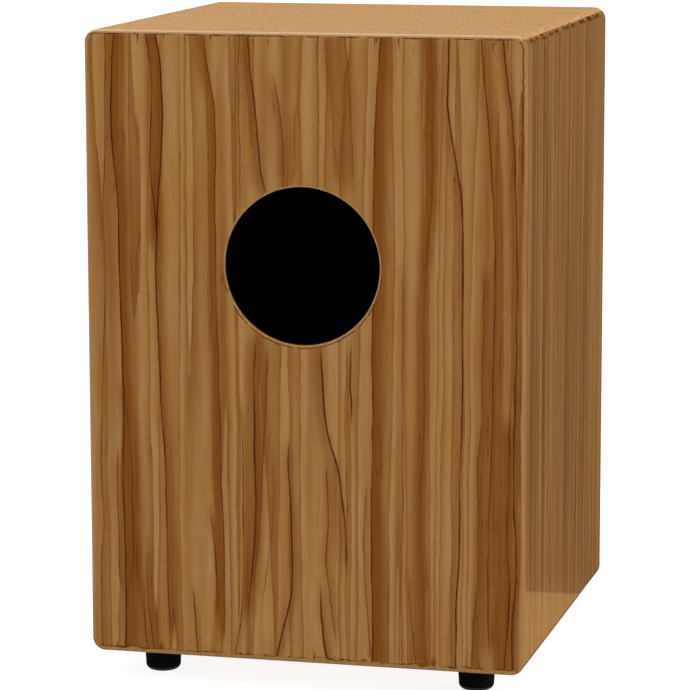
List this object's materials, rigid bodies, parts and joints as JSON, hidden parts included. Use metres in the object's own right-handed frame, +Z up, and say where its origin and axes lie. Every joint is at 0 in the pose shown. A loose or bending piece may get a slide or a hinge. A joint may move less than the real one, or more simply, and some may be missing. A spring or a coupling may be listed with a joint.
{
  "type": "cajon",
  "caption": "Box drum with a round sound hole in its rear panel, a screwed-on thin playing plate, rubber feet and an adjustable snare rail inside.",
  "frame": {"origin": "on the floor, under the middle of the box", "axes": "+Z up; +Y towards the playing face (tapa); -Y towards the sound hole; +X to the right as seen from the sound hole's side"},
  "size_m": [0.305, 0.3073, 0.451],
  "materials": {
    "figured_veneer": "gloss lacquer over figured brown veneer",
    "straight_veneer": "gloss lacquer over straight-grained brown veneer",
    "seat_veneer": "satin lacquer over light fine-flecked veneer",
    "base_board": "satin lacquer",
    "blackened_wood": "matt black paint",
    "rubber": "matt",
    "zinc_steel": "bright zinc plate",
    "black_steel": "black oxide",
    "snare_wire": "bright drawn wire",
    "nylon": "matt"
  },
  "bodies": {
    "box": {"bottom_panel": "base_board", "bracket_screw_left_lower": "zinc_steel", "bracket_screw_left_upper": "zinc_steel", "bracket_screw_right_lower": "zinc_steel", "bracket_screw_right_upper": "zinc_steel", "foot_front_left": "rubber", "foot_front_right": "rubber", "foot_rear_left": "rubber", "foot_rear_right": "rubber", "foot_screw_front_left": "zinc_steel", "foot_screw_front_right": "zinc_steel", "foot_screw_rear_left": "zinc_steel", "foot_screw_rear_right": "zinc_steel", "foot_washer_front_left": "zinc_steel", "foot_washer_front_right": "zinc_steel", "foot_washer_rear_left": "zinc_steel", "foot_washer_rear_right": "zinc_steel", "front_batten_bottom": "blackened_wood", "front_batten_left": "blackened_wood", "front_batten_right": "blackened_wood", "front_batten_top": "blackened_wood", "left_side_panel": "straight_veneer", "rail_bracket_left": "nylon", "rail_bracket_right": "nylon", "rear_panel": "figured_veneer", "right_side_panel": "straight_veneer", "tapa": "figured_veneer", "tapa_screw_bottom_left": "black_steel", "tapa_screw_bottom_middle": "black_steel", "tapa_screw_bottom_right": "black_steel", "tapa_screw_left_1": "black_steel", "tapa_screw_left_2": "black_steel", "tapa_screw_left_3": "black_steel", "tapa_screw_left_4": "black_steel", "tapa_screw_right_1": "black_steel", "tapa_screw_right_2": "black_steel", "tapa_screw_right_3": "black_steel", "tapa_screw_right_4": "black_steel", "tapa_screw_top_left": "black_steel", "tapa_screw_top_middle": "black_steel", "tapa_screw_top_right": "black_steel", "tension_screw_bush": "nylon", "top_panel": "seat_veneer"},
    "snare_rail": {"lever_screw_left": "black_steel", "lever_screw_right": "black_steel", "rail_pin_left": "zinc_steel", "rail_pin_right": "zinc_steel", "snare_left": "snare_wire", "snare_lever": "black_steel", "snare_rail": "blackened_wood", "snare_right": "snare_wire", "snare_screw_left_inner": "black_steel", "snare_screw_left_outer": "black_steel", "snare_screw_right_inner": "black_steel", "snare_screw_right_outer": "black_steel"},
    "tension_screw": {"tension_screw": "black_steel", "tension_lock_nut": "black_steel"},
    "barrel_nut": {"barrel_nut": "black_steel"}
  },
  "joints": [
    {"name": "tension_screw_turn", "type": "hinge", "parent": "box", "child": "tension_screw", "pos_m": [0, 0.0885, 0.02], "axis": [0, 0, 1], "range_deg": [0, 1080]},
    {"name": "snare_rail_turn", "type": "hinge", "parent": "box", "child": "snare_rail", "pos_m": [0, 0.1185, 0.282], "axis": [1, 0, 0], "range_deg": [0, 6]},
    {"name": "barrel_nut_turn", "type": "hinge", "parent": "snare_rail", "child": "barrel_nut", "pos_m": [0, 0.0885, 0.282], "axis": [1, 0, 0], "range_deg": [-6, 0]}
  ],
  "couplings": [
    {"joint": "snare_rail_turn", "follows": "tension_screw_turn", "ratio": 0.0053052},
    {"joint": "barrel_nut_turn", "follows": "tension_screw_turn", "ratio": -0.0053052}
  ]
}
